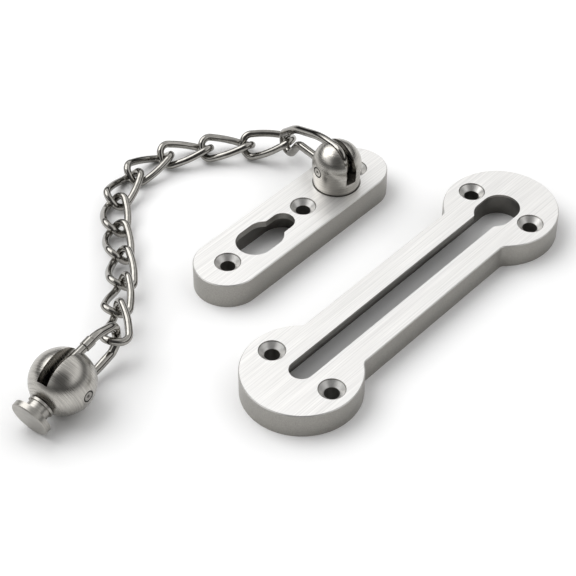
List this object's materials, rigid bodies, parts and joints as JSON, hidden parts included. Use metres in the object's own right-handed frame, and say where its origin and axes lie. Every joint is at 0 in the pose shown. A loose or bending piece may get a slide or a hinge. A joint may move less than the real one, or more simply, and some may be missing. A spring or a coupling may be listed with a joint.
{
  "type": "door chain guard",
  "caption": "Security door chain in satin steel: slotted slide track, chain plate with swivel ball and parking keyhole, twisted link chain and ball-ended stud.",
  "frame": {"origin": "centre of the slide track's four screw holes, on its back face", "axes": "+X along both plates towards the track's wide entry, +Y from the track towards the chain plate, +Z out of the door surface"},
  "size_m": [0.1823, 0.1273, 0.0246],
  "materials": {
    "satin_plate": "satin, fine grain along the length",
    "satin_ball": "fine satin",
    "polished_wire": "polished",
    "pin_steel": "ground"
  },
  "bodies": {
    "plates": {"track_plate": "satin_plate", "chain_plate": "satin_plate"},
    "swivel": {"swivel_ball": "satin_ball", "stem_collar": "pin_steel", "anchor_pin": "pin_steel"},
    "anchor_link": {"anchor_link": "polished_wire"},
    "chain_link_01": {"chain_link_01": "polished_wire"},
    "chain_link_02": {"chain_link_02": "polished_wire"},
    "chain_link_03": {"chain_link_03": "polished_wire"},
    "chain_link_04": {"chain_link_04": "polished_wire"},
    "chain_link_05": {"chain_link_05": "polished_wire"},
    "chain_link_06": {"chain_link_06": "polished_wire"},
    "chain_link_07": {"chain_link_07": "polished_wire"},
    "chain_link_08": {"chain_link_08": "polished_wire"},
    "chain_link_09": {"chain_link_09": "polished_wire"},
    "chain_link_10": {"chain_link_10": "polished_wire"},
    "end_link": {"end_link": "polished_wire"},
    "end_ball": {"end_ball": "satin_ball", "end_pin": "pin_steel", "stud": "satin_ball"}
  },
  "joints": [
    {"name": "swivel_turn", "type": "hinge", "parent": "plates", "child": "swivel", "pos_m": [0.0224, 0.0474, 0.01665], "axis": [0, 0, -1], "range_deg": [-18, 126]},
    {"name": "anchor_link_swing", "type": "hinge", "parent": "swivel", "child": "anchor_link", "pos_m": [0.0224, 0.0474, 0.01665], "axis": [0.9774, -0.2113, 0], "range_deg": [-2, 56]},
    {"name": "chain_link_01_swing", "type": "hinge", "parent": "anchor_link", "child": "chain_link_01", "pos_m": [0.0286, 0.0761, 0.0077], "axis": [-0.0124, -0.0574, -0.9983], "range_deg": [-14, 52]},
    {"name": "chain_link_02_swing", "type": "hinge", "parent": "chain_link_01", "child": "chain_link_02", "pos_m": [0.01982, 0.0865, 0.0039], "axis": [-0.238, -0.4527, -0.8593], "range_deg": [-78, 90]},
    {"name": "chain_link_03_swing", "type": "hinge", "parent": "chain_link_02", "child": "chain_link_03", "pos_m": [0.0097, 0.09636, 0.0039], "axis": [0.4744, 0.5245, 0.707], "range_deg": [-98, 16]},
    {"name": "chain_link_04_swing", "type": "hinge", "parent": "chain_link_03", "child": "chain_link_04", "pos_m": [-0.00233, 0.10376, 0.0039], "axis": [0.3895, 0.5903, 0.707], "range_deg": [-100, 16]},
    {"name": "chain_link_05_swing", "type": "hinge", "parent": "chain_link_04", "child": "chain_link_05", "pos_m": [-0.0166, 0.10414, 0.0039], "axis": [-0.0846, -0.7028, -0.7063], "range_deg": [-20, 100]},
    {"name": "chain_link_06_swing", "type": "hinge", "parent": "chain_link_05", "child": "chain_link_06", "pos_m": [-0.02973, 0.09856, 0.0039], "axis": [-0.2186, 0.6732, 0.7064], "range_deg": [-100, 18]},
    {"name": "chain_link_07_swing", "type": "hinge", "parent": "chain_link_06", "child": "chain_link_07", "pos_m": [-0.03889, 0.08761, 0.0039], "axis": [-0.4981, 0.503, 0.7063], "range_deg": [-76, 56]},
    {"name": "chain_link_08_swing", "type": "hinge", "parent": "chain_link_07", "child": "chain_link_08", "pos_m": [-0.04764, 0.07658, 0.0048], "axis": [0.5215, -0.48, -0.7054], "range_deg": [-98, 78]},
    {"name": "chain_link_09_swing", "type": "hinge", "parent": "chain_link_08", "child": "chain_link_09", "pos_m": [-0.05694, 0.0661, 0.0064], "axis": [-0.5865, 0.589, 0.556], "range_deg": [-60, 100]},
    {"name": "chain_link_10_swing", "type": "hinge", "parent": "chain_link_09", "child": "chain_link_10", "pos_m": [-0.06797, 0.05748, 0.0084], "axis": [0.5491, -0.7405, -0.3875], "range_deg": [-72, 100]},
    {"name": "end_link_swing", "type": "hinge", "parent": "chain_link_10", "child": "end_link", "pos_m": [-0.07763, 0.04733, 0.01014], "axis": [-0.6767, 0.7068, 0.2062], "range_deg": [-42, 58]},
    {"name": "end_ball_swing", "type": "hinge", "parent": "end_link", "child": "end_ball", "pos_m": [-0.09904, 0.04736, 0.0101], "axis": [-0.0872, 0.9962, 0], "range_deg": [-57, 88]}
  ]
}
